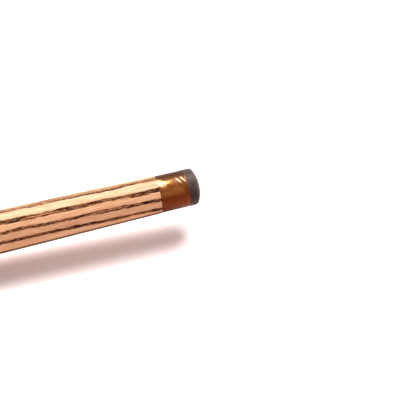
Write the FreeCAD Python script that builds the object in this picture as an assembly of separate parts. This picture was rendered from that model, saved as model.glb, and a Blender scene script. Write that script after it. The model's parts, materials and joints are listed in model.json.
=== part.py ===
"""Clutch lead holder with a turned wooden barrel and a smooth brass nose ferrule.

The holder lies along X with its writing end towards +X and its barrel resting on Z = 0. The origin is
at the bottom centre. Every turned piece is drawn as (back, radius) points: "back" is the distance
behind the writing tip, and "radius" is measured from the holder's axis. All sizes are in millimetres.
"""

import FreeCAD
import Part

import math
import os

from FreeCAD import Vector

# ---- driving dimensions -------------------------------------------------------------------------
OVERALL_LENGTH = 146.0
LEAD_RADIUS = 3.15 / 2          # the standard 3.15 mm artists' lead
LEAD_LENGTH = 90.0
FERRULE_RADIUS = 7.2 / 2
BARREL_RADIUS = 9.4 / 2
WOOD_FRONT_RADIUS = 7.3 / 2
TAPER_PER_MM = 0.014            # growth of the barrel's radius behind the nose
EASING = 15.0                   # half the length in which the cone becomes the parallel grip
EASING_STEPS = 5
HEAD_LENGTH = 2.6               # clutch head standing in front of the nose ferrule
FERRULE_LENGTH = 5.5
BARREL_LENGTH = 124.0
REAR_FERRULE_LENGTH = 5.0
BUTTON_TRAVEL = 3.2

# ---- clearances and edges -----------------------------------------------------------------------
FIT = 0.01                      # radial gap of a pressed or screwed fit
FACE_GAP = 0.02                 # gap between faces that meet
RUNNING = 0.07                  # radial gap of a guide
CONE_GAP = 0.03                 # between the jaws' cone and the seat's
ROOT_GAP = 0.06                 # room behind a jaw's root for its flexing
SLIT_WIDTH = 0.14               # between two closed jaws
WOOD_EDGE = 0.15                # broken edges
METAL_EDGE = 0.1

# ---- stations along the holder, measured back from the writing tip -----------------------------
NOSE = HEAD_LENGTH
WOOD_FRONT = NOSE + FERRULE_LENGTH
WOOD_REAR = WOOD_FRONT + BARREL_LENGTH
REAR_END = WOOD_REAR + REAR_FERRULE_LENGTH
SPIGOT_END = WOOD_FRONT + 5.0
LINER_FRONT = WOOD_FRONT + 0.15
LINER_END = WOOD_REAR + 3.0

# ---- tubes --------------------------------------------------------------------------------------
LINER_OUTER = 3.0
LINER_BORE = 2.75
TUBE_OUTER = 2.1
TUBE_BORE = 1.85
TUBE_END = 140.0
SPIGOT_BORE = 2.42
JAW_BORE = LEAD_RADIUS + 0.025
FINGER_OUTER = 2.0

# ---- clutch head and jaws -----------------------------------------------------------------------
DOME_RADIUS = 7.0               # the worn lead and the closed jaws share one domed end
HEAD_RADIUS = FERRULE_RADIUS - 0.02
HEAD_CORNER = 0.9
SEAT_MOUTH = 2.95               # the seat's cone, from its mouth ...
SEAT_THROAT = 2.72              # ... to its throat
SEAT_CONE = 0.75
SEAT_LENGTH = 1.2
SEAT_OUTER = 3.2
NECK_END = 4.25
JAW_ROOT = 17.0
ROOT_SHOULDER = 19.0
ROOT_END = 22.0
JAW_COUNT = 3
FIRST_JAW_ANGLE = 105.0         # about +X, from +Y towards +Z

# ---- spring train on the push tube --------------------------------------------------------------
STOP_FRONT = 24.0
STOP_LENGTH = 3.0
WASHER = 0.3
SPRING_LENGTH = 20.0
SPRING_RADIUS = 2.42
WIRE = 0.4
SPRING_TURNS = 11
COLLAR_LENGTH = 3.0
CLIP_LENGTH = 0.4
CLIP_OUTER = 2.61
CLIP_OPENING = 1.2
WASHER_FRONT = STOP_FRONT + STOP_LENGTH + FACE_GAP
SPRING_FRONT = WASHER_FRONT + WASHER + FACE_GAP
REAR_WASHER_FRONT = SPRING_FRONT + SPRING_LENGTH + FACE_GAP
COLLAR_FRONT = REAR_WASHER_FRONT + WASHER + FACE_GAP
CLIP_FRONT = COLLAR_FRONT + COLLAR_LENGTH + FACE_GAP

# ---- button -------------------------------------------------------------------------------------
BUTTON_RADIUS = 2.65
BUTTON_FRONT = WOOD_REAR - 1.6
BUTTON_ROUNDING = 0.5
BUSH_LENGTH = 5.0
GROOVES = 4
GROOVE_PITCH = 1.1
GROOVE_WIDTH = 0.44
GROOVE_DEPTH = 0.18
FIRST_GROOVE = REAR_END + BUTTON_TRAVEL + 0.9
PLUG_RADIUS = 1.9
PLUG_POCKET = 1.1
PLUG_PROUD = 0.3
PLUG_CROWN = 0.25
BUTTON_END = OVERALL_LENGTH - PLUG_PROUD


def place(back, radius):
    """The point at a distance behind the tip and a radius above the axis."""
    return Vector(OVERALL_LENGTH / 2 - back, 0, BARREL_RADIUS + radius)


def bend(middle, end):
    """A step of an outline: an arc through middle to end."""
    return ("bend", middle, end)


def turned(start, *steps):
    """The solid swept about the holder's axis by a closed outline of points and bends."""
    edges = []
    at = start
    for step in (*steps, start):
        if step[0] == "bend":
            _, middle, end = step
            edges.append(Part.Arc(place(*at), place(*middle), place(*end)).toShape())
        else:
            end = step
            edges.append(Part.LineSegment(place(*at), place(*end)).toShape())
        at = end
    face = Part.Face(Part.Wire(edges))
    return face.revolve(place(0, 0), Vector(1, 0, 0), 360)


def ring(front, length, inner, outer):
    """A plain ring or tube."""
    back = front + length
    return turned((front, inner), (front, outer), (back, outer), (back, inner))


def dome_back(radius):
    """How far the domed end lies behind its apex at a radius."""
    return DOME_RADIUS - math.sqrt(DOME_RADIUS**2 - radius**2)


# ---- casing -------------------------------------------------------------------------------------
def barrel():
    """The wooden sleeve: a long cone that eases into a parallel grip, with broken edges."""
    cone_end = WOOD_FRONT + (BARREL_RADIUS - WOOD_FRONT_RADIUS) / TAPER_PER_MM
    easing = []
    for k in range(EASING_STEPS + 1):
        t = k / EASING_STEPS
        back = cone_end + EASING * (2 * t - 1)
        easing.append((back, BARREL_RADIUS - EASING * TAPER_PER_MM * (1 - t) ** 2))
    return turned(
        (WOOD_FRONT, LINER_OUTER),
        (WOOD_FRONT, WOOD_FRONT_RADIUS - WOOD_EDGE),
        (WOOD_FRONT + WOOD_EDGE, WOOD_FRONT_RADIUS),
        *easing,
        (WOOD_REAR - WOOD_EDGE, BARREL_RADIUS),
        (WOOD_REAR, BARREL_RADIUS - WOOD_EDGE),
        (WOOD_REAR, LINER_OUTER),
    )


def liner_tube():
    """The brass tube glued into the barrel's bore; it carries both ferrules."""
    return ring(LINER_FRONT, LINER_END - LINER_FRONT, LINER_BORE, LINER_OUTER - FIT)


def nose_ferrule():
    """The smooth front sleeve, with a spigot screwed into the liner and a pocket for the seat."""
    pocket_end = NOSE + SEAT_LENGTH
    spigot = LINER_BORE - FIT
    return turned(
        (NOSE, SEAT_OUTER),
        (NOSE, FERRULE_RADIUS),
        (WOOD_FRONT - METAL_EDGE, FERRULE_RADIUS),
        (WOOD_FRONT - FACE_GAP, FERRULE_RADIUS - METAL_EDGE),
        (WOOD_FRONT - FACE_GAP, spigot),
        (SPIGOT_END, spigot),
        (SPIGOT_END, SPIGOT_BORE),
        (WOOD_FRONT, SPIGOT_BORE),
        (pocket_end, SEAT_THROAT),
        (pocket_end, SEAT_OUTER),
    )


def clutch_seat():
    """The hardened ring in the ferrule's mouth that the clutch head is drawn against."""
    back = NOSE + SEAT_LENGTH
    return turned(
        (NOSE, SEAT_MOUTH),
        (NOSE, SEAT_OUTER - FIT),
        (back, SEAT_OUTER - FIT),
        (back, SEAT_THROAT),
        (NOSE + SEAT_CONE, SEAT_THROAT),
    )


def rear_ferrule():
    """The brass end ring over the liner's tail, which guides the button."""
    outer = BARREL_RADIUS - 0.05
    front = WOOD_REAR + FACE_GAP
    shoulder = 1.25
    across = shoulder * (1 - math.sqrt(0.5))
    guide = BUTTON_RADIUS + RUNNING
    return turned(
        (front, LINER_OUTER + FIT),
        (front, outer - METAL_EDGE),
        (front + METAL_EDGE, outer),
        (REAR_END - shoulder, outer),
        bend((REAR_END - across, outer - across), (REAR_END, outer - shoulder)),
        (REAR_END, guide),
        (LINER_END + FACE_GAP, guide),
        (LINER_END + FACE_GAP, LINER_OUTER + FIT),
    )


def rear_bush():
    """The guide in the liner's tail; the button's front end stops against it."""
    back = BUTTON_FRONT - BUTTON_TRAVEL - FACE_GAP
    return ring(back - BUSH_LENGTH, BUSH_LENGTH, TUBE_OUTER + RUNNING, LINER_BORE - FIT)


def spring_stop():
    """The ring pressed into the liner that the spring bears on."""
    return ring(STOP_FRONT, STOP_LENGTH, TUBE_OUTER + RUNNING, LINER_BORE - FIT)


# ---- clutch -------------------------------------------------------------------------------------
def collet():
    """The closed clutch in one piece: domed head, cone, neck and finger tube."""
    corner_axis = HEAD_RADIUS - HEAD_CORNER
    corner_back = DOME_RADIUS - math.sqrt((DOME_RADIUS - HEAD_CORNER) ** 2 - corner_axis**2)
    dome_angle = math.atan2(corner_axis, DOME_RADIUS - corner_back)
    middle_angle = (dome_angle + math.pi / 2) / 2

    def on_corner(angle):
        back = corner_back - HEAD_CORNER * math.cos(angle)
        return back, corner_axis + HEAD_CORNER * math.sin(angle)

    dome_end = on_corner(dome_angle)
    half_way = (JAW_BORE + dome_end[1]) / 2
    return turned(
        (dome_back(JAW_BORE), JAW_BORE),
        bend((dome_back(half_way), half_way), dome_end),
        bend(on_corner(middle_angle), (corner_back, HEAD_RADIUS)),
        (NOSE - FACE_GAP, HEAD_RADIUS),
        (NOSE - FACE_GAP, SEAT_MOUTH - CONE_GAP),
        (NOSE + SEAT_CONE - FACE_GAP, SEAT_THROAT - CONE_GAP),
        (NECK_END, FINGER_OUTER),
        (JAW_ROOT, FINGER_OUTER),
        (JAW_ROOT, JAW_BORE),
    )


def clutch_jaws():
    """The jaws, numbered about +X from the first: the collet cut by radial slits."""
    jaws = collet()
    reach = 2 * HEAD_RADIUS
    for k in range(JAW_COUNT):
        slit = Part.makeBox(2 * JAW_ROOT, reach, SLIT_WIDTH)
        slit.translate(place(JAW_ROOT * 1.5, -SLIT_WIDTH / 2))
        slit.rotate(place(0, 0), Vector(1, 0, 0), FIRST_JAW_ANGLE + (k + 0.5) * 360 / JAW_COUNT)
        jaws = jaws.cut(slit)

    def angle_from_first(jaw):
        middle = jaw.CenterOfMass
        angle = math.degrees(math.atan2(middle.z - BARREL_RADIUS, middle.y))
        return (angle - FIRST_JAW_ANGLE + 180 / JAW_COUNT) % 360

    return sorted(jaws.Solids, key=angle_from_first)


def clutch_root():
    """The collar that the fingers spring from, screwed into the push tube."""
    front = JAW_ROOT + ROOT_GAP
    bore = JAW_BORE + FACE_GAP
    spigot = TUBE_BORE - FIT
    return turned(
        (front, bore),
        (front, FINGER_OUTER),
        (ROOT_SHOULDER, FINGER_OUTER),
        (ROOT_SHOULDER, spigot),
        (ROOT_END, spigot),
        (ROOT_END, bore),
    )


def push_tube():
    """The long thin tube that joins the clutch to the button and stores the lead."""
    front = ROOT_SHOULDER + FACE_GAP
    return ring(front, TUBE_END - front, TUBE_BORE, TUBE_OUTER)


def lead():
    """The graphite rod, its worn end flush with the closed jaws."""
    half = LEAD_RADIUS / 2
    return turned(
        (0, 0),
        bend((dome_back(half), half), (dome_back(LEAD_RADIUS), LEAD_RADIUS)),
        (LEAD_LENGTH, LEAD_RADIUS),
        (LEAD_LENGTH, 0),
    )


# ---- spring train -------------------------------------------------------------------------------
def washer(front):
    """A thrust washer, free on the tube and in the liner."""
    return ring(front, WASHER, TUBE_OUTER + RUNNING, LINER_BORE - RUNNING)


def return_spring():
    """The round-wire compression spring, as one helix between the washers."""
    coil_length = SPRING_LENGTH - WIRE
    helix = Part.makeHelix(coil_length / SPRING_TURNS, coil_length, SPRING_RADIUS)
    wire_end = Part.makeCircle(WIRE / 2, Vector(SPRING_RADIUS, 0, 0), Vector(0, 1, 0))
    spring = Part.Wire(helix.Edges).makePipeShell([Part.Wire(wire_end)], True, True)
    spring.rotate(Vector(0, 0, 0), Vector(0, 1, 0), -90)
    spring.translate(place(SPRING_FRONT + WIRE / 2, 0))
    return spring


def spring_collar():
    """The ring fixed on the push tube that the spring drives back."""
    return ring(COLLAR_FRONT, COLLAR_LENGTH, TUBE_OUTER + FIT, LINER_BORE - RUNNING)


def collar_clip():
    """The open retaining ring that holds the collar on the tube."""
    clip = ring(CLIP_FRONT, CLIP_LENGTH, TUBE_OUTER + FIT, CLIP_OUTER)
    opening = Part.makeBox(2 * CLIP_LENGTH, CLIP_OPENING, 2 * CLIP_OUTER)
    opening.translate(place(CLIP_FRONT + 1.5 * CLIP_LENGTH, 0) - Vector(0, CLIP_OPENING / 2, 0))
    return clip.cut(opening)


# ---- button -------------------------------------------------------------------------------------
def button():
    """The push button: a grooved cap fixed over the push tube's tail."""
    bore = TUBE_OUTER + FIT
    bore_end = TUBE_END + FACE_GAP
    grooves = []
    for k in range(GROOVES):
        middle = FIRST_GROOVE + k * GROOVE_PITCH
        grooves.append((middle - GROOVE_WIDTH / 2, BUTTON_RADIUS))
        grooves.append((middle, BUTTON_RADIUS - GROOVE_DEPTH))
        grooves.append((middle + GROOVE_WIDTH / 2, BUTTON_RADIUS))
    across = BUTTON_ROUNDING * (1 - math.sqrt(0.5))
    rim = BUTTON_RADIUS - BUTTON_ROUNDING
    return turned(
        (BUTTON_FRONT, bore),
        (BUTTON_FRONT, BUTTON_RADIUS),
        *grooves,
        (BUTTON_END - BUTTON_ROUNDING, BUTTON_RADIUS),
        bend((BUTTON_END - across, BUTTON_RADIUS - across), (BUTTON_END, rim)),
        (BUTTON_END, PLUG_RADIUS),
        (BUTTON_END - PLUG_POCKET, PLUG_RADIUS),
        (BUTTON_END - PLUG_POCKET, 0),
        (bore_end, 0),
        (bore_end, bore),
    )


def button_plug():
    """The domed disc pressed into the button's end."""
    front = BUTTON_END - PLUG_POCKET + FACE_GAP
    radius = PLUG_RADIUS - FIT
    crown_edge = OVERALL_LENGTH - PLUG_CROWN
    return turned(
        (OVERALL_LENGTH, 0),
        bend((OVERALL_LENGTH - PLUG_CROWN / 4, radius / 2), (crown_edge, radius)),
        (front, radius),
        (front, 0),
    )


def all_pieces():
    """Every sub-part by its node name."""
    pieces = {
        "barrel": barrel(),
        "liner_tube": liner_tube(),
        "nose_ferrule": nose_ferrule(),
        "clutch_seat": clutch_seat(),
        "rear_ferrule": rear_ferrule(),
        "rear_bush": rear_bush(),
        "spring_stop": spring_stop(),
        "clutch_root": clutch_root(),
        "push_tube": push_tube(),
        "lead": lead(),
        "front_washer": washer(WASHER_FRONT),
        "return_spring": return_spring(),
        "rear_washer": washer(REAR_WASHER_FRONT),
        "spring_collar": spring_collar(),
        "collar_clip": collar_clip(),
        "button": button(),
        "button_plug": button_plug(),
    }
    for k, jaw in enumerate(clutch_jaws()):
        pieces[f"clutch_jaw_{k + 1}"] = jaw
    return pieces


os.makedirs("parts", exist_ok=True)
for name, shape in all_pieces().items():
    assert shape.isValid() and shape.Volume > 0, name
    shape.exportStep(f"parts/{name}.step")
    print(f"{name}: {shape.Volume:.2f} mm3, {len(shape.Solids)} solid(s)")
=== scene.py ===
"""The looks of a wooden clutch lead holder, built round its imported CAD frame.

Blender works in metres. Outlines here are in millimetres, as (back, radius) points: "back" is the
distance behind the writing tip and "radius" is measured from the holder's axis, which lies along X.
"""

import json
import math

import bmesh
import bpy
import numpy as np
from mathutils import Matrix, Vector, noise


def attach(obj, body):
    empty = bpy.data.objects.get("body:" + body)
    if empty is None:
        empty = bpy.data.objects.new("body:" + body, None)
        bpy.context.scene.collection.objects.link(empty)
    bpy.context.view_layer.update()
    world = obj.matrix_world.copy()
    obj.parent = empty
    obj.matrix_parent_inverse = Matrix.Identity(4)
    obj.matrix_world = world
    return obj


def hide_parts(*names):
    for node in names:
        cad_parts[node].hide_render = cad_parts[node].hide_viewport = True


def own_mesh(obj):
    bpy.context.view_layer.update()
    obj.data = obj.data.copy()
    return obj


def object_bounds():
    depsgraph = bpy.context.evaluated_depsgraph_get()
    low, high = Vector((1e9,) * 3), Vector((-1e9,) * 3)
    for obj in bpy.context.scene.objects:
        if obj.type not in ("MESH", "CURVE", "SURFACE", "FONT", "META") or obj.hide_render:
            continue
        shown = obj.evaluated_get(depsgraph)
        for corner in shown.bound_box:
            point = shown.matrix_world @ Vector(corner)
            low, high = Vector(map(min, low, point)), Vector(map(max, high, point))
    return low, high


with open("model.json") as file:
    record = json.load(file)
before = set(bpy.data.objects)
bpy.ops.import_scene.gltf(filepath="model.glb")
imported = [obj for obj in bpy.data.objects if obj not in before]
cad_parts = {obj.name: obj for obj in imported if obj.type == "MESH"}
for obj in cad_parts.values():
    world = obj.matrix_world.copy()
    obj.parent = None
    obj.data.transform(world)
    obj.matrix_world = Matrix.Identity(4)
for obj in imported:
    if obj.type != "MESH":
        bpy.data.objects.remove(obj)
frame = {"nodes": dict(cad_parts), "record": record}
cad_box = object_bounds()

MM = 0.001
TIP_X = cad_box[1].x / MM
AXIS_Z = (cad_box[0].z + cad_box[1].z) / 2 / MM


# ---- sizes read from the frame ------------------------------------------------------------------
def node_points(node):
    """A CAD node's corners as arrays of back and radius."""
    corners = np.array([v.co for v in frame["nodes"][node].data.vertices]) / MM
    return TIP_X - corners[:, 0], np.hypot(corners[:, 1], corners[:, 2] - AXIS_Z)


def span(node):
    """The front and rear of a CAD node, as distances behind the tip."""
    back, _ = node_points(node)
    return back.min(), back.max()


def silhouette(node):
    """The outer outline of a turned CAD node, as rising arrays of back and radius."""
    back, radius = node_points(node)
    back = back.round(3)
    stations = np.unique(back)
    return stations, np.array([radius[back == station].max() for station in stations])


NOSE = span("nose_ferrule")[0]
WOOD_FRONT, WOOD_REAR = span("barrel")
REAR_FRONT, REAR_END = span("rear_ferrule")
LEAD_END = span("lead")[1]
FERRULE_RADIUS = node_points("nose_ferrule")[1].max()
SPIGOT_BORE_RADIUS = node_points("nose_ferrule")[1].min()
SEAT_RADIUS = node_points("clutch_seat")[1].max()
SEAT_THROAT_RADIUS = node_points("clutch_seat")[1].min()
WOOD_BORE_RADIUS = node_points("barrel")[1].min()
LINER_BORE_RADIUS = node_points("liner_tube")[1].min()
LEAD_RADIUS = node_points("lead")[1].max()
PRESS_TRAVEL = next(j["range_m"][1] for j in frame["record"]["behaviour"]["joints"]
                    if j["name"] == "button_press")     # in metres

# ---- sizes in mm that the frame doesn't give ----------------------------------------------------
FIT = 0.01                      # round a piece in its bore
FACE_GAP = 0.02                 # between faces that meet
SEAT_MOUTH_RADIUS = 2.92        # of the jaws' cone at the ferrule's rim
SEAT_CONE = 0.73                # length of that cone
CONE_GAP = 0.03                 # between the jaws' cone and the seat's
NECK_END = 4.25                 # where the jaws' neck has grown to the fingers' size
DOME_RADIUS = 7.0               # of the head's domed end
HEAD_CORNER = 0.9               # radius of the head's rounded corner
JAW_COUNT = 3
FIRST_JAW_ANGLE = 105.0         # degrees about +X, from +Y towards +Z
SLIT_WIDTH = 0.09               # between two closed jaws
PLUG_CROWN = 0.25               # how far the button's disc bulges
SPRING_TURNS = 11
CLOSED_PITCH = 2.1              # of the spring's end turns, in wire radii
PORE_ROW = 0.26                 # half the width of a sunken row of pores
PORE_DEPTH = 0.035
HANDLING_DEPTH = 0.008          # of the wood's dents
DENT_DEPTH = 0.026              # of the ferrule's dents
CREASE_DEPTH = 0.035            # of the ferrule's slanting creases
CREASE_BACK = 1.3               # how far behind the rim they are deepest
FLOOR_SLOPE = 0.03
FLOOR_DROP = 0.6                # below the end ring
FLOOR_HALF = 1500.0
ON_AXIS = 1e-6                  # a smaller radius counts as none
EDGE_SHARE = 0.48               # the most of an edge that the rounding of one corner takes


# ---- mesh makers --------------------------------------------------------------------------------
def rounded(*corners, steps=5):
    """A closed outline through (back, radius) corners; a third number rounds that corner off."""
    points = []
    count = len(corners)
    for k, corner in enumerate(corners):
        here = np.array(corner[:2], float)
        if len(corner) < 3:
            points.append(tuple(here))
            continue
        ends = []
        for neighbour in (corners[k - 1], corners[(k + 1) % count]):
            way = np.array(neighbour[:2], float) - here
            length = np.hypot(*way)
            ends.append(here + way / length * min(corner[2], EDGE_SHARE * length))
        for t in np.linspace(0, 1, steps):
            curve = (1 - t) ** 2 * ends[0] + 2 * t * (1 - t) * here + t**2 * ends[1]
            points.append(tuple(curve))
    return points


def softened(node, size):
    """The outer outline of a turned CAD node with all its corners but the two ends rounded off."""
    corners = list(zip(*silhouette(node)))
    points = [corners[0]]
    for before, corner, after in zip(corners, corners[1:], corners[2:]):
        points += rounded(before, (*corner, size), after, steps=4)[1:-1]
    return points + [corners[-1]]


def dome_back(radius):
    """How far the domed end lies behind its apex at a radius."""
    return DOME_RADIUS - math.sqrt(DOME_RADIUS**2 - radius**2)


def finished(name, points, faces, sharp_degrees=35):
    """An object from points in metres, with outward faces and smooth shading up to sharp edges."""
    mesh = bpy.data.meshes.new(name)
    mesh.from_pydata(points, [], faces)
    solid = bmesh.new()
    solid.from_mesh(mesh)
    bmesh.ops.recalc_face_normals(solid, faces=solid.faces)
    solid.to_mesh(mesh)
    solid.free()
    piece = bpy.data.objects.new(name, mesh)
    bpy.context.scene.collection.objects.link(piece)
    mesh.shade_smooth()
    mesh.set_sharp_from_angle(angle=math.radians(sharp_degrees))
    return piece


def turned(name, outline, steps=192, carve=None):
    """A solid of revolution about the holder's axis. carve(x, y, z) gives how deep to cut, in mm.

    The outline is closed and runs with the solid on its left as back grows to the right, so that
    its faces look outwards.
    """
    angles = np.arange(steps) * 2 * np.pi / steps
    points, rings = [], []
    for back, radius in outline:
        first = len(points)
        x = TIP_X - back
        if radius < ON_AXIS:
            points.append((x * MM, 0.0, AXIS_Z * MM))
            rings.append([first] * steps)
            continue
        y, z = radius * np.cos(angles), radius * np.sin(angles)
        if carve is not None:
            shrink = 1 - carve(np.full(steps, x), y, z) / radius
            y, z = y * shrink, z * shrink
        points += [(x * MM, a * MM, (AXIS_Z + b) * MM) for a, b in zip(y, z)]
        rings.append(list(range(first, first + steps)))
    faces = []
    for near, far in zip(rings, rings[1:] + rings[:1]):
        if near[0] == near[1] and far[0] == far[1]:
            continue
        for k in range(steps):
            after = (k + 1) % steps
            corners = [near[k], near[after], far[after], far[k]]
            faces.append(list(dict.fromkeys(corners)))
    return finished(name, points, faces)


def sector(name, outline, middle, width, half_gap, steps=36):
    """The part of a solid of revolution between two planes beside the axis, as a clutch's jaw is.

    middle and width are angles in radians; the planes stand half_gap inside the sector's edges.
    """
    points = []
    for back, radius in outline:
        reach = width / 2 - math.asin(half_gap / radius)
        for angle in np.linspace(middle - reach, middle + reach, steps):
            y, z = radius * math.cos(angle), AXIS_Z + radius * math.sin(angle)
            points.append(((TIP_X - back) * MM, y * MM, z * MM))
    count = len(outline)
    faces = []
    for i in range(count):
        near, far = i * steps, (i + 1) % count * steps
        for k in range(steps - 1):
            faces.append((near + k, near + k + 1, far + k + 1, far + k))
    faces.append([i * steps for i in range(count)])
    faces.append([i * steps + steps - 1 for i in reversed(range(count))])
    return finished(name, points, faces)


def wander(x, y, z, size, seed):
    """Smooth noise from -1 to 1 at points in mm, with features of about the given size."""
    return np.array([
        noise.noise(Vector((a / size + seed, b / size, c / size))) for a, b, c in zip(x, y, z)
    ])


# ---- node graphs --------------------------------------------------------------------------------
class Signal:
    """A number carried by a node socket; arithmetic on it makes Math nodes."""

    def __init__(self, graph, socket):
        self.graph = graph
        self.socket = socket

    def __add__(self, other):
        return self.graph.math("ADD", self, other)

    def __sub__(self, other):
        return self.graph.math("SUBTRACT", self, other)

    def __rsub__(self, other):
        return self.graph.math("SUBTRACT", other, self)

    def __mul__(self, other):
        return self.graph.math("MULTIPLY", self, other)

    def __truediv__(self, other):
        return self.graph.math("DIVIDE", self, other)

    __rmul__ = __mul__


class Graph:
    """One material's node tree. Its inputs take numbers, colours or Signals alike."""

    def __init__(self, name):
        self.material = bpy.data.materials.new(name)
        self.material.use_nodes = True
        self.nodes = self.material.node_tree.nodes
        self.links = self.material.node_tree.links
        self.shader = self.nodes["Principled BSDF"]

    def feed(self, socket, value):
        if isinstance(value, Signal):
            self.links.new(value.socket, socket)
        elif isinstance(value, tuple) and socket.type == "RGBA":
            socket.default_value = (*value, 1.0)
        else:
            socket.default_value = value

    def node(self, kind, inputs, output=0, **settings):
        made = self.nodes.new("ShaderNode" + kind)
        for setting, value in settings.items():
            setattr(made, setting, value)
        for key, value in inputs.items():
            self.feed(made.inputs[key], value)
        return Signal(self, made.outputs[output])

    def math(self, operation, *values):
        return self.node("Math", dict(enumerate(values)), operation=operation)

    def place(self):
        """The point's position on the piece, in mm."""
        spot = self.node("TexCoord", {}, output="Object")
        return self.node("VectorMath", {0: spot, "Scale": 1 / MM}, operation="SCALE")

    def axes(self):
        """The point's x, y and z in mm, the last two measured from the holder's axis."""
        parts = self.nodes.new("ShaderNodeSeparateXYZ")
        self.feed(parts.inputs[0], self.place())
        x, y, z = (Signal(self, out) for out in parts.outputs)
        return x, y, z - AXIS_Z

    def noise(self, stretch, seed=0.0, detail=2.0, roughness=0.5, distortion=0.0):
        """Noise from 0 to 1; stretch is its features per mm along X, Y and Z."""
        spot = self.node(
            "VectorMath", {0: self.place(), 1: stretch, 2: (seed, seed, seed)},
            operation="MULTIPLY_ADD",
        )
        inputs = {"Vector": spot, "Scale": 1.0, "Detail": detail, "Roughness": roughness,
                  "Distortion": distortion}
        return self.node("TexNoise", inputs, output="Fac")

    def ramp(self, value, low, high, start=0.0, end=1.0):
        """A smooth step from start to end as value goes from low to high."""
        inputs = {"Value": value, "From Min": low, "From Max": high, "To Min": start, "To Max": end}
        return self.node("MapRange", inputs, interpolation_type="SMOOTHSTEP")

    def mix(self, factor, first, second):
        """A colour between first and second."""
        made = self.nodes.new("ShaderNodeMix")
        made.data_type = "RGBA"
        for key, value in (("Factor_Float", factor), ("A_Color", first), ("B_Color", second)):
            self.feed(next(s for s in made.inputs if s.identifier == key), value)
        return Signal(self, next(s for s in made.outputs if s.identifier == "Result_Color"))

    def bump(self, height, depth_mm):
        return self.node("Bump", {"Height": height, "Distance": depth_mm * MM, "Strength": 1.0},
                         output="Normal")

    def finish(self, **inputs):
        """Feeds the shader's sockets, whose names are written with underscores."""
        for key, value in inputs.items():
            self.feed(self.shader.inputs[key.replace("_", " ")], value)
        return self.material


def srgb(red, green, blue):
    """A linear colour from its usual 0 to 255 numbers."""
    return tuple(
        c / 12.92 if c <= 0.04045 else ((c + 0.055) / 1.055) ** 2.4
        for c in (red / 255, green / 255, blue / 255)
    )


def sine(value):
    """The sine of an array or a Signal, in radians."""
    return np.sin(value) if isinstance(value, np.ndarray) else value.graph.math("SINE", value)


def to_nearest(value):
    """How far an array or a Signal is from the nearest whole number, with no sign."""
    if isinstance(value, np.ndarray):
        return np.abs(value - np.round(value))
    rounded_off = value.graph.math("ROUND", value)
    return value.graph.math("ABSOLUTE", value - rounded_off)


# ---- growth rings, shared by the wood's relief and its colour -----------------------------------
RING_SPACING = 1.93
RING_SHIFT = 0.53
RING_DRIFT = 0.0236             # how much the rings climb per mm towards the rear
RING_BOW = 0.012                # how much they curve across the wood
SLANT = math.sqrt(0.5)          # the rings' planes face up and towards +Y


def ring_depth(x, y, z):
    """How deep in the rings a point lies, in mm, growing away from the crown."""
    up = (y + z) * SLANT
    across = (z - y) * SLANT
    depth = RING_DRIFT * (TIP_X - WOOD_FRONT - x) - up + across * across * RING_BOW
    uneven = sine(depth * 0.9 + 1.3) * 0.2 + 0.08
    waves = sine(x * 0.13 + 0.7) * 0.07 + sine(x * 0.37 + up * 0.9) * 0.045
    return depth - uneven + waves


def from_ring(x, y, z):
    """The distance in mm to the nearest band of pores."""
    return to_nearest(ring_depth(x, y, z) / RING_SPACING - RING_SHIFT) * RING_SPACING


# ---- materials ----------------------------------------------------------------------------------
CREAM_WOOD = srgb(204, 179, 146)
PEACH_WOOD = srgb(196, 154, 118)
BAND_HALO = srgb(186, 114, 60)
DARK_STREAK = srgb(180, 116, 80)
PALE_STREAK = srgb(236, 200, 160)
FIBRE = srgb(170, 110, 72)
HAIRLINE = srgb(150, 98, 60)
STRAY_PORE = srgb(90, 48, 22)
PAINTED_UNDERSIDE_SHADE = srgb(78, 46, 30)
LIT_END_GRAIN = srgb(250, 226, 190)
DIM_END_GRAIN = srgb(150, 98, 62)
BAND_EDGE = srgb(92, 42, 8)
BAND_CORE = srgb(45, 15, 0)


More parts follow.
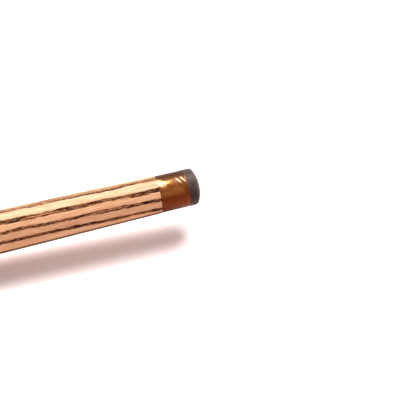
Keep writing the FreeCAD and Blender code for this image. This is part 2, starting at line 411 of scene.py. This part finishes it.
def barrel_wood():
    """Open-pored pale wood: ragged dark bands of pores between cream and peach growth; the cream
    top is partly painted light, and painted shade darkens the underside edge.
    """
    g = Graph("barrel_wood")
    x, y, z = g.axes()
    depth = ring_depth(x, y, z)
    off_band = from_ring(x, y, z)
    sideways = (y + z) * -SLANT / g.math("SQRT", y * y + z * z)

    patches = g.noise((0.16, 0.8, 0.8), seed=3.1, detail=3.0, roughness=0.6)
    forks = g.noise((0.12, 0.5, 0.5), seed=6.4, detail=2.0)
    dashes = g.noise((0.85, 7.0, 7.0), seed=7.7, detail=4.0, roughness=0.70)
    hairs = g.noise((0.16, 12.0, 12.0), seed=1.3, detail=2.0)
    streaks = g.noise((0.30, 3.6, 3.6), seed=2.6, detail=4.0, roughness=0.68)
    fibres = g.noise((0.6, 24.0, 24.0), seed=5.9, detail=2.0)
    mottle = g.noise((0.09, 0.6, 0.6), seed=9.4, detail=3.0)

    # a band is a ragged dark row of pores, which forks into two fainter rows here and there
    fork = g.ramp(forks, 0.47, 0.60)
    off_row = g.math("ABSOLUTE", off_band - fork * 0.20)
    width = g.ramp(patches, 0.35, 0.62, 0.23, 0.40) - fork * 0.09
    width = width * g.ramp(sideways, 0.25, 0.65, 1.0, 0.76)
    ragged = off_row / width + (dashes - 0.5) * 3.0
    row = g.ramp(ragged, 1.15, 0.55)
    band = row * g.ramp(patches, 0.30, 0.55, 0.75, 1.0) * g.ramp(dashes, 0.62, 0.52, 0.30, 1.0)
    band = band * g.ramp(sideways, -0.92, -0.78, 0.55, 1.0)
    beside = g.ramp(off_band, 0.48, 0.22) * g.ramp(dashes, 0.48, 0.36) * 0.7
    stray_level = g.ramp(off_band, 0.2, 0.9, 0.60, 0.69)
    strays = g.ramp(dashes - stray_level, 0.0, 0.05) * 0.5
    hairline = g.ramp(hairs, 0.58, 0.68) * 0.20

    # what lies between the bands, from the broadest change to the finest
    # paler cream toward the crown: partly the wood's own tone, partly painted light on the top
    sapwood_and_lit_top = g.ramp(depth + (mottle - 0.5) * 0.6, -0.75, -1.6)
    growth = g.mix(sapwood_and_lit_top, PEACH_WOOD, CREAM_WOOD)
    growth = g.mix(g.ramp(off_band, 0.58, 0.18) * 0.50, growth, BAND_HALO)
    growth = g.mix(g.ramp(streaks, 0.46, 0.66) * 0.50, growth, DARK_STREAK)
    growth = g.mix(g.ramp(streaks, 0.50, 0.34) * 0.35, growth, PALE_STREAK)
    growth = g.mix(g.ramp(fibres, 0.35, 0.75) * 0.16, growth, FIBRE)
    growth = g.mix(hairline, growth, HAIRLINE)
    growth = g.mix(strays, growth, STRAY_PORE)
    # painted shade: a dark line along the underside edge
    growth = g.mix(g.ramp(sideways, 0.86, 0.945) * 0.9, growth, PAINTED_UNDERSIDE_SHADE)

    # the broken edge by the ferrule catches light above and loses it below
    end_grain = g.ramp(TIP_X - WOOD_FRONT - x, 0.22, 0.12)
    growth = g.mix(end_grain * g.ramp(sideways, -0.5, 0.3, 0.5, 0.0), growth, LIT_END_GRAIN)
    growth = g.mix(end_grain * g.ramp(sideways, 0.0, 0.5, 0.0, 0.6), growth, DIM_END_GRAIN)
    growth = g.mix(beside, growth, BAND_EDGE)
    colour = g.mix(band, growth, BAND_CORE)

    hollows = (1 - band) * 0.8 + (1 - strays) * 0.3 + fibres * 0.25 + dashes * 0.2
    roughness = g.ramp(fibres, 0.2, 0.8, 0.46, 0.60) + band * 0.25
    return g.finish(Base_Color=colour, Roughness=roughness, Normal=g.bump(hollows, 0.035),
                    Specular_IOR_Level=0.04)


def wrinkle(behind_rim, turn):
    """Where a point lies across the shallow slanting creases by the ferrule's front rim."""
    round_face = turn * FERRULE_RADIUS
    return behind_rim * 5.9 + round_face * 2.6 + sine(round_face * 1.7 + behind_rim) * 0.7


WARM_BRASS = (0.35, 0.125, 0.030)
DEEP_BRASS = (0.26, 0.088, 0.019)
SHOULDER_DARK_REFLECTION = (0.080, 0.034, 0.0145)
PAINTED_HIGHLIGHT_BRASS = (0.62, 0.38, 0.16)
FLANK_DARK_REFLECTION = (0.114, 0.0215, 0.0034)
DARK_REFLECTION_PATCH = (0.070, 0.029, 0.012)
CREASE_WEAR_AND_GLINT = (0.46, 0.30, 0.19)
FLECK = (0.12, 0.036, 0.011)
WORN_RIM = (0.50, 0.25, 0.10)
RIM_GLOW = (0.150, 0.030, 0.0025)


def tarnished_brass():
    """Old polished brass: red-brown tarnish with rub marks and smudges; painted dark reflections
    darken its lower flank, its top shoulder and a patch, a painted highlight lightens it by the
    wood, and painted glints and a painted warm reflection sit by the front rim.
    """
    g = Graph("tarnished_brass")
    x, y, z = g.axes()
    clouds = g.noise((0.45, 0.55, 0.55), seed=2.2, detail=4.0, roughness=0.6, distortion=0.6)
    flecks = g.noise((1.1, 0.9, 0.5), seed=8.8, detail=3.0, roughness=0.6, distortion=0.9)
    turning = g.noise((16.0, 0.25, 0.25), seed=4.4, detail=2.0)
    smudges = g.noise((0.9, 1.4, 1.4), seed=6.1, detail=3.0, distortion=0.8)
    crown = (y + z) * SLANT
    behind_rim = TIP_X - NOSE - x
    on_nose = g.ramp(behind_rim, 9.0, 7.0)

    metal = g.mix(g.ramp(clouds, 0.35, 0.70), WARM_BRASS, DEEP_BRASS)
    # painted dark reflection: a brown band along the top shoulder of the nose ferrule
    shoulder = g.ramp(crown + (clouds - 0.5) * 0.5, 1.75, 2.35) * on_nose
    metal = g.mix(shoulder, metal, SHOULDER_DARK_REFLECTION)
    # painted highlight: paler, yellower brass on the top by the wood, where the key's reflection
    # falls
    painted_highlight = g.ramp(behind_rim + (clouds - 0.5) * 1.2, 3.5, 4.6) * on_nose
    painted_highlight = painted_highlight * g.ramp(crown, 0.7, 1.4) * g.ramp(crown - behind_rim * 0.6, 0.0, -0.8)
    metal = g.mix(painted_highlight * 0.8, metal, PAINTED_HIGHLIGHT_BRASS)
    # painted dark reflection: deeper red on the lower flank, half as strong away from the nose
    flank = g.ramp(crown + (clouds - 0.5) * 0.9, 0.1, -1.5) * (on_nose * 0.5 + 0.5)
    metal = g.mix(flank, metal, FLANK_DARK_REFLECTION)
    # painted dark reflection: a dull brown patch on top of the sleeve's middle, which the roughness
    # also dulls
    patch = g.ramp(behind_rim + (flecks - 0.5) * 1.6, 3.5, 2.5) * g.ramp(crown, 0.6, 1.3)
    metal = g.mix(patch * 0.92, metal, DARK_REFLECTION_PATCH)
    # pale crests of the creases by the rim: partly wear, partly painted glints where they face the
    # light on the upper side
    crease = g.ramp(sine(wrinkle(behind_rim, g.math("ARCTAN2", z, y))), 0.45, 0.85)
    rubbed = crease * g.ramp(behind_rim, 2.2, 1.7) * g.ramp((z - y) * SLANT, 0.5, 1.5)
    rubbed = rubbed * g.ramp(crown, 1.0, 1.5) * g.ramp(crown, 2.5, 2.1)
    metal = g.mix(rubbed * 0.8, metal, CREASE_WEAR_AND_GLINT)
    metal = g.mix(g.ramp(flecks, 0.54, 0.68) * 0.5, metal, FLECK)
    wear = g.ramp(behind_rim, 0.22, 0.05) * g.ramp(smudges, 0.40, 0.60)
    metal = g.mix(wear * 0.12, metal, WORN_RIM)
    # painted warm reflection: brighter red low on the front rim
    glow = g.ramp(behind_rim + (clouds - 0.5) * 0.6, 1.3, 0.4) * g.ramp(crown, 0.6, -0.2)
    metal = g.mix(glow * 0.8, metal, RIM_GLOW)
    dull = g.math("MAXIMUM", patch, shoulder) * 0.24 + g.ramp(crown, 0.5, -0.7) * 0.26
    roughness = g.ramp(smudges, 0.30, 0.75, 0.15, 0.30) + dull
    relief = clouds * 0.4 + flecks * 0.35 + turning * 0.04
    return g.finish(Base_Color=metal, Roughness=roughness, Normal=g.bump(relief, 0.09),
                    Metallic=1.0, Coat_Weight=0.06, Coat_Roughness=0.10)


def machined(name, base, dark, roughness, metallic=1.0, grain=1.0):
    """A lathe-turned metal: fine rings round the axis, darker smudges and a little unevenness."""
    g = Graph(name)
    turning = g.noise((22.0, 0.4, 0.4), seed=1.7, detail=3.0)
    smudges = g.noise((0.8, 1.2, 1.2), seed=5.2, detail=4.0, roughness=0.6, distortion=0.4)
    specks = g.noise((6.0, 6.0, 6.0), seed=9.9, detail=3.0)
    colour = g.mix(g.ramp(smudges, 0.35, 0.75), base, dark)
    colour = g.mix(g.ramp(specks, 0.62, 0.75) * 0.35, colour, dark)
    rough = g.ramp(smudges, 0.25, 0.8, roughness * 0.8, roughness * 1.3) + turning * 0.06
    relief = turning * 0.5 * grain + specks * 0.3
    return g.finish(Base_Color=colour, Roughness=rough, Normal=g.bump(relief, 0.012),
                    Metallic=metallic)


BLACK_SKIN = (0.062, 0.044, 0.037)
DEEP_SKIN = (0.043, 0.028, 0.023)
GREY_SKIN = (0.090, 0.074, 0.066)
SHADED_SKIN = (0.027, 0.0085, 0.0070)
DOME_SKIN = (0.022, 0.013, 0.011)
BARE_STEEL_AND_GLINT = (0.20, 0.178, 0.165)


def clutch_black():
    """Chemically blackened steel, its dull skin rubbed thinner on the corner and the dome, with
    painted shade on its lower side and a painted glint where the rubbed corner faces up.
    """
    g = Graph("clutch_black")
    x, y, z = g.axes()
    skin = g.noise((2.6, 2.6, 2.6), seed=3.3, detail=5.0, roughness=0.65)
    clouds = g.noise((0.5, 0.6, 0.6), seed=7.1, detail=3.0)
    grit = g.noise((14.0, 14.0, 14.0), seed=1.1, detail=2.0)
    colour = g.mix(g.ramp(clouds, 0.35, 0.7), BLACK_SKIN, DEEP_SKIN)
    colour = g.mix(g.ramp(skin, 0.52, 0.72) * 0.5, colour, GREY_SKIN)
    back = TIP_X - x
    crown = (y + z) * SLANT
    colour = g.mix(g.ramp(crown, 0.8, -2.4) * 0.9, colour, SHADED_SKIN)
    colour = g.mix(g.ramp(back, 1.2, 0.5) * 0.45, colour, DOME_SKIN)
    # rubbed-through bare steel on the corner, kept to its top, where it is also a painted glint
    rubbed = g.ramp(back, 1.35, 0.75) * g.ramp(skin, 0.40, 0.62) * g.ramp(crown, 0.9, 2.3) * 0.6
    colour = g.mix(rubbed, colour, BARE_STEEL_AND_GLINT)
    roughness = g.ramp(skin, 0.3, 0.75, 0.46, 0.66)
    relief = skin * 0.6 + grit * 0.4
    return g.finish(Base_Color=colour, Roughness=roughness, Normal=g.bump(relief, 0.02),
                    Metallic=0.10, Specular_IOR_Level=0.20)


def graphite():
    """Fired graphite lead: a dark grey sheen, extrusion lines along it and a rubbed end."""
    g = Graph("graphite")
    x, _, _ = g.axes()
    drawn = g.noise((0.3, 9.0, 9.0), seed=2.9, detail=3.0)
    grains = g.noise((9.0, 9.0, 9.0), seed=6.6, detail=4.0, roughness=0.7)
    end = g.ramp(TIP_X - x, 0.45, 0.15)
    colour = g.mix(g.ramp(grains, 0.35, 0.75), (0.060, 0.058, 0.060), (0.105, 0.102, 0.104))
    colour = g.mix(end * g.ramp(drawn, 0.3, 0.6) * 0.5, colour, (0.15, 0.145, 0.145))
    roughness = g.ramp(grains, 0.3, 0.7, 0.36, 0.52) - end * 0.06
    return g.finish(Base_Color=colour, Roughness=roughness,
                    Normal=g.bump(drawn * 0.6 + grains * 0.4, 0.012), Metallic=0.45)


WOOD = barrel_wood()
BRASS = tarnished_brass()
HEAD = clutch_black()
LEAD = graphite()
INNER_BRASS = machined("inner_brass", (0.80, 0.56, 0.24), (0.55, 0.33, 0.12), 0.26)
STEEL = machined("hardened_steel", (0.46, 0.45, 0.44), (0.28, 0.27, 0.27), 0.24)
SPRING = machined("spring_steel", (0.56, 0.55, 0.55), (0.30, 0.29, 0.29), 0.30, grain=0.3)
BLACKED = machined("blackened_steel", (0.115, 0.100, 0.095), (0.070, 0.058, 0.055), 0.42, 0.55)


# ---- pieces -------------------------------------------------------------------------------------
def dress(piece, material, body, slot, *nodes):
    """Gives a new piece its material and its body, and hides the CAD nodes it stands for. slot is
    not used.
    """
    piece.data.materials.append(material)
    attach(piece, body)
    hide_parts(*nodes)
    return piece


def wood_relief(x, y, z):
    """How far the pores and handling have sunk the wood's surface, in mm."""
    off_band = from_ring(x, y, z)
    groove = np.clip(1 - (off_band / PORE_ROW) ** 2, 0, 1) ** 2
    broken = 0.6 + 0.4 * wander(x, y, z, 2.2, seed=4.0)
    handling = 0.5 + 0.5 * wander(x, y, z, 7.0, seed=9.0)
    return groove * broken * PORE_DEPTH + handling * HANDLING_DEPTH


def make_barrel():
    """The wooden sleeve, dense enough to carry its grain as real relief."""
    stations, radii = silhouette("barrel")
    edge = np.array([0.0, 0.05, 0.1, 0.15, 0.2])
    inset = 0.3
    even = np.linspace(WOOD_FRONT + inset, WOOD_REAR - inset, 392)
    backs = np.concatenate([WOOD_FRONT + edge, even, WOOD_REAR - edge[::-1]])
    outer = [(back, np.interp(back, stations, radii)) for back in backs]
    bore = [(WOOD_REAR, WOOD_BORE_RADIUS), (WOOD_FRONT, WOOD_BORE_RADIUS)]

    def carve(x, y, z):
        in_bore = np.hypot(y, z) < WOOD_BORE_RADIUS + FIT
        return np.where(in_bore, 0.0, wood_relief(x, y, z))

    sleeve = turned("barrel_sleeve", outer + bore, steps=240, carve=carve)
    dress(sleeve, WOOD, "casing", "barrel_wood", "barrel")


def make_nose_ferrule():
    """The smooth front sleeve: softly rounded ends, and a polished face a little dented by use."""
    rear = WOOD_FRONT - FACE_GAP
    pocket_end = span("clutch_seat")[1]
    pocket_radius = SEAT_RADIUS + FIT
    spigot_end = span("nose_ferrule")[1]
    spigot_radius = LINER_BORE_RADIUS - FIT
    front_round, rear_round = 0.07, 0.13
    rims = rounded((NOSE, FERRULE_RADIUS, front_round), (rear, FERRULE_RADIUS, rear_round),
                   (rear, 0), (NOSE, 0))
    front_inset, rear_inset = 0.2, 0.25
    backs = np.linspace(NOSE + front_inset, rear - rear_inset, 56)
    face = [(back, FERRULE_RADIUS) for back in backs]
    hidden = [(rear, spigot_radius), (spigot_end, spigot_radius), (spigot_end, SPIGOT_BORE_RADIUS),
              (WOOD_FRONT, SPIGOT_BORE_RADIUS), (pocket_end, SEAT_THROAT_RADIUS),
              (pocket_end, pocket_radius), (NOSE, pocket_radius)]

    def carve(x, y, z):
        on_face = np.hypot(y, z) > FERRULE_RADIUS - FIT / 2
        behind_rim = TIP_X - x - NOSE
        dents = 0.5 + 0.5 * wander(x, y, z, 1.5, seed=2.0)
        near_rim = np.clip(1 - np.abs(behind_rim - CREASE_BACK) / CREASE_BACK, 0, 1)
        creases = 0.5 - 0.5 * np.sin(wrinkle(behind_rim, np.arctan2(z, y)))
        return np.where(on_face, dents * DENT_DEPTH + creases * near_rim * CREASE_DEPTH, 0.0)

    outline = rims[:5] + face + rims[5:10] + hidden
    shell = turned("nose_ferrule_shell", outline, steps=256, carve=carve)
    dress(shell, BRASS, "casing", "ferrule_brass", "nose_ferrule")


def make_rear_ferrule():
    """The end ring, its edges broken and its shoulder rolled over."""
    liner_end = span("liner_tube")[1] + FACE_GAP
    liner_radius = node_points("liner_tube")[1].max() + 2 * FIT
    guide_radius = node_points("rear_ferrule")[1].min()
    outer = softened("rear_ferrule", 0.1)
    inner = rounded((REAR_END, guide_radius, 0.08), (liner_end, guide_radius),
                    (liner_end, liner_radius), (REAR_FRONT, liner_radius))
    shell = turned("rear_ferrule_shell", outer + inner)
    dress(shell, BRASS, "casing", "ferrule_brass", "rear_ferrule")


def collet_outline():
    """Half the section of the closed clutch: domed head, cone, neck and finger."""
    head_radius = node_points("clutch_jaw_1")[1].max()
    bore_radius = node_points("clutch_jaw_1")[1].min()
    root = span("clutch_jaw_1")[1]
    finger_radius = node_points("clutch_root")[1].max()
    corner_axis = head_radius - HEAD_CORNER
    corner_back = DOME_RADIUS - math.sqrt((DOME_RADIUS - HEAD_CORNER) ** 2 - corner_axis**2)
    dome_angle = math.atan2(corner_axis, DOME_RADIUS - corner_back)
    dome_edge = corner_axis + HEAD_CORNER * math.sin(dome_angle)
    lip = 0.03
    outline = [(dome_back(bore_radius) + lip, bore_radius)]
    outline += [(dome_back(r), r) for r in np.linspace(bore_radius + lip, dome_edge, 16)]
    for angle in np.linspace(dome_angle, math.pi / 2, 10)[1:]:
        outline.append((corner_back - HEAD_CORNER * math.cos(angle),
                        corner_axis + HEAD_CORNER * math.sin(angle)))
    head_back = NOSE - FACE_GAP
    throat_radius = SEAT_THROAT_RADIUS - CONE_GAP
    outline += rounded((head_back, head_radius, 0.05), (head_back, SEAT_MOUTH_RADIUS),
                       (NOSE + SEAT_CONE, throat_radius, 0.2), (NECK_END, finger_radius, 0.3),
                       (root, finger_radius, 0.05), (root, bore_radius))
    return outline


def make_jaws():
    """The three jaws, side by side round the lead, each cut from the collet by two slits."""
    width = 2 * math.pi / JAW_COUNT
    for k in range(JAW_COUNT):
        middle = math.radians(FIRST_JAW_ANGLE + k * 360 / JAW_COUNT)
        jaw = sector(f"jaw_{k + 1}_head", collet_outline(), middle, width, SLIT_WIDTH / 2)
        dress(jaw, HEAD, f"jaw_{k + 1}", "clutch_head", f"clutch_jaw_{k + 1}")


def make_lead():
    """The lead, worn to the jaws' dome, with its edge rubbed off."""
    worn, lip, chamfer = 0.04, 0.03, 0.1
    outline = [(dome_back(r), r) for r in np.linspace(0, LEAD_RADIUS - worn, 14)]
    outline += [(dome_back(LEAD_RADIUS) + lip, LEAD_RADIUS), (LEAD_END - chamfer, LEAD_RADIUS),
                (LEAD_END, LEAD_RADIUS - chamfer), (LEAD_END, 0.0)]
    dress(turned("lead_rod", outline, steps=128), LEAD, "lead", "graphite_lead", "lead")


def make_button():
    """The push button, with its finger grooves rolled smooth at their lips."""
    front, end = span("button")
    tube_end = span("push_tube")[1] + FACE_GAP
    bore_radius = node_points("push_tube")[1].max() + FIT
    pocket_radius = node_points("button_plug")[1].max() + FIT
    pocket_end = span("button_plug")[0] - FACE_GAP
    outline = softened("button", 0.12)
    outline += [(end, pocket_radius), (pocket_end, pocket_radius), (pocket_end, 0.0),
                (tube_end, 0.0), (tube_end, bore_radius), (front, bore_radius)]
    dress(turned("button_cap", outline), BRASS, "pusher", "ferrule_brass", "button")


def make_plug():
    """The domed disc in the button's end."""
    front, end = span("button_plug")
    radius = node_points("button_plug")[1].max()
    worn, lip = 0.04, 0.03
    crown = [(end - PLUG_CROWN * (r / radius) ** 2, r) for r in np.linspace(0, radius - worn, 14)]
    outline = crown + [(end - PLUG_CROWN - lip, radius), (front, radius), (front, 0.0)]
    disc = turned("button_disc", outline, steps=128)
    dress(disc, BLACKED, "pusher", "blackened_steel", "button_plug")


def make_spring():
    """The return spring, its end turns closed."""
    front, rear = span("return_spring")
    radii = node_points("return_spring")[1]
    middle = (radii.max() + radii.min()) / 2
    wire = (radii.max() - radii.min()) / 2
    closed = CLOSED_PITCH * wire
    steps_a_turn, sides = 40, 14
    turns = np.linspace(0, SPRING_TURNS, SPRING_TURNS * steps_a_turn + 1)
    backs = np.interp(turns, (0, 1, SPRING_TURNS - 1, SPRING_TURNS),
                      (front + wire, front + wire + closed, rear - wire - closed, rear - wire))
    around = np.arange(sides) * 2 * np.pi / sides
    points, faces = [], []
    for turn, back in zip(turns * 2 * np.pi, backs):
        radius = middle + wire * np.cos(around)
        x = TIP_X - back + wire * np.sin(around)
        y, z = radius * math.cos(turn), AXIS_Z + radius * math.sin(turn)
        points += [(a * MM, b * MM, c * MM) for a, b, c in zip(x, y, z)]
    for near in range(0, len(points) - sides, sides):
        for k in range(sides):
            after = (k + 1) % sides
            faces.append((near + k, near + after, near + sides + after, near + sides + k))
    faces += [list(range(sides)), list(range(len(points) - 1, len(points) - sides - 1, -1))]
    spring = dress(finished("spring_coil", points, faces, sharp_degrees=50), SPRING,
                   "spring_pack", "spring_steel", "return_spring")
    length = rear - front
    (TIP_X - front) * MM
    1 - PRESS_TRAVEL / MM / length
    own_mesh(spring)


def finish_inner_nodes():
    """Working finishes for the CAD nodes that are carried over as they are."""
    finishes = {
        "liner_tube": INNER_BRASS,
        "clutch_seat": STEEL,
        "rear_bush": INNER_BRASS,
        "spring_stop": INNER_BRASS,
        "front_washer": STEEL,
        "clutch_root": BLACKED,
        "push_tube": INNER_BRASS,
        "spring_collar": INNER_BRASS,
        "collar_clip": SPRING,
        "rear_washer": STEEL,
    }
    for node, material in finishes.items():
        mesh = frame["nodes"][node].data
        mesh.materials.clear()
        mesh.materials.append(material)


# ---- stage, light and camera --------------------------------------------------------------------
def make_floor():
    """A wide pale sheet, which slopes from just under the end ring to well under the nose."""
    ring_x = TIP_X - REAR_END
    points = []
    for across, along in ((-1, -1), (1, -1), (1, 1), (-1, 1)):
        x, y = across * FLOOR_HALF, along * FLOOR_HALF
        points.append((x * MM, y * MM, ((ring_x - x) * FLOOR_SLOPE - FLOOR_DROP) * MM))
    mesh = bpy.data.meshes.new("floor")
    mesh.from_pydata(points, [], [(0, 1, 2, 3)])
    floor = bpy.data.objects.new("floor", mesh)
    bpy.context.scene.collection.objects.link(floor)
    g = Graph("pale_paper")
    cloud = g.noise((0.02, 0.02, 0.02), seed=1.0)
    colour = g.mix(cloud, (0.86, 0.80, 0.80), (0.88, 0.82, 0.82))
    floor.data.materials.append(g.finish(Base_Color=colour, Roughness=0.9, Specular_IOR_Level=0.1))


def add_softbox(name, toward, distance, size, watts):
    """A square area light on the nose; toward is its lean to +X and +Y in degrees."""
    right, rear = (math.tan(math.radians(angle)) for angle in toward)
    way = Vector((right, rear, 1.0)).normalized()
    light = bpy.data.lights.new(name, "AREA")
    light.shape = "SQUARE"
    light.size = size
    light.energy = watts
    lamp = bpy.data.objects.new(name, light)
    bpy.context.scene.collection.objects.link(lamp)
    target_back = 20
    target = Vector(((TIP_X - target_back) * MM, 0.0, AXIS_Z * MM))
    lamp.matrix_world = Matrix.Translation(target + way * distance) @ way.to_track_quat(
        "Z", "Y"
    ).to_matrix().to_4x4()


def light_scene():
    """One soft key from above and behind, in an even pale room."""
    world = bpy.data.worlds.new("room")
    world.use_nodes = True
    background = world.node_tree.nodes["Background"]
    background.inputs["Color"].default_value = (0.80, 0.665, 0.635, 1.0)
    background.inputs["Strength"].default_value = 1.0
    bpy.context.scene.world = world
    add_softbox("key", toward=(23, 21), distance=1.2, size=0.62, watts=25)
    bpy.context.scene.view_settings.view_transform = "Standard"


def add_camera():
    """The reference view: down on the nose, with the barrel leaving the frame to the left."""
    azimuth, elevation, roll = (math.radians(a) for a in (-12.85, 45.0, -4.2))
    distance = 0.310
    ahead = Vector((-math.sin(azimuth) * math.cos(elevation),
                    math.cos(azimuth) * math.cos(elevation), -math.sin(elevation)))
    level = Vector((math.cos(azimuth), math.sin(azimuth), 0.0))
    upright = level.cross(ahead)
    right = level * math.cos(roll) + upright * math.sin(roll)
    up = upright * math.cos(roll) - level * math.sin(roll)
    aim_ahead, aim_below = 0.02, 4.1
    aim = Vector((TIP_X + aim_ahead, 0.0, AXIS_Z - aim_below)) * MM
    lens = bpy.data.cameras.new("camera")
    lens.sensor_width = 36.0
    lens.lens = 144.2
    lens.clip_start = 0.01
    camera = bpy.data.objects.new("camera", lens)
    camera.matrix_world = Matrix.Translation(aim - ahead * distance) @ Matrix(
        (right, up, -ahead)
    ).transposed().to_4x4()
    bpy.context.scene.collection.objects.link(camera)
    bpy.context.scene.camera = camera


make_barrel()
make_nose_ferrule()
make_rear_ferrule()
make_jaws()
make_lead()
make_button()
make_plug()
make_spring()
finish_inner_nodes()
make_floor()
light_scene()
add_camera()
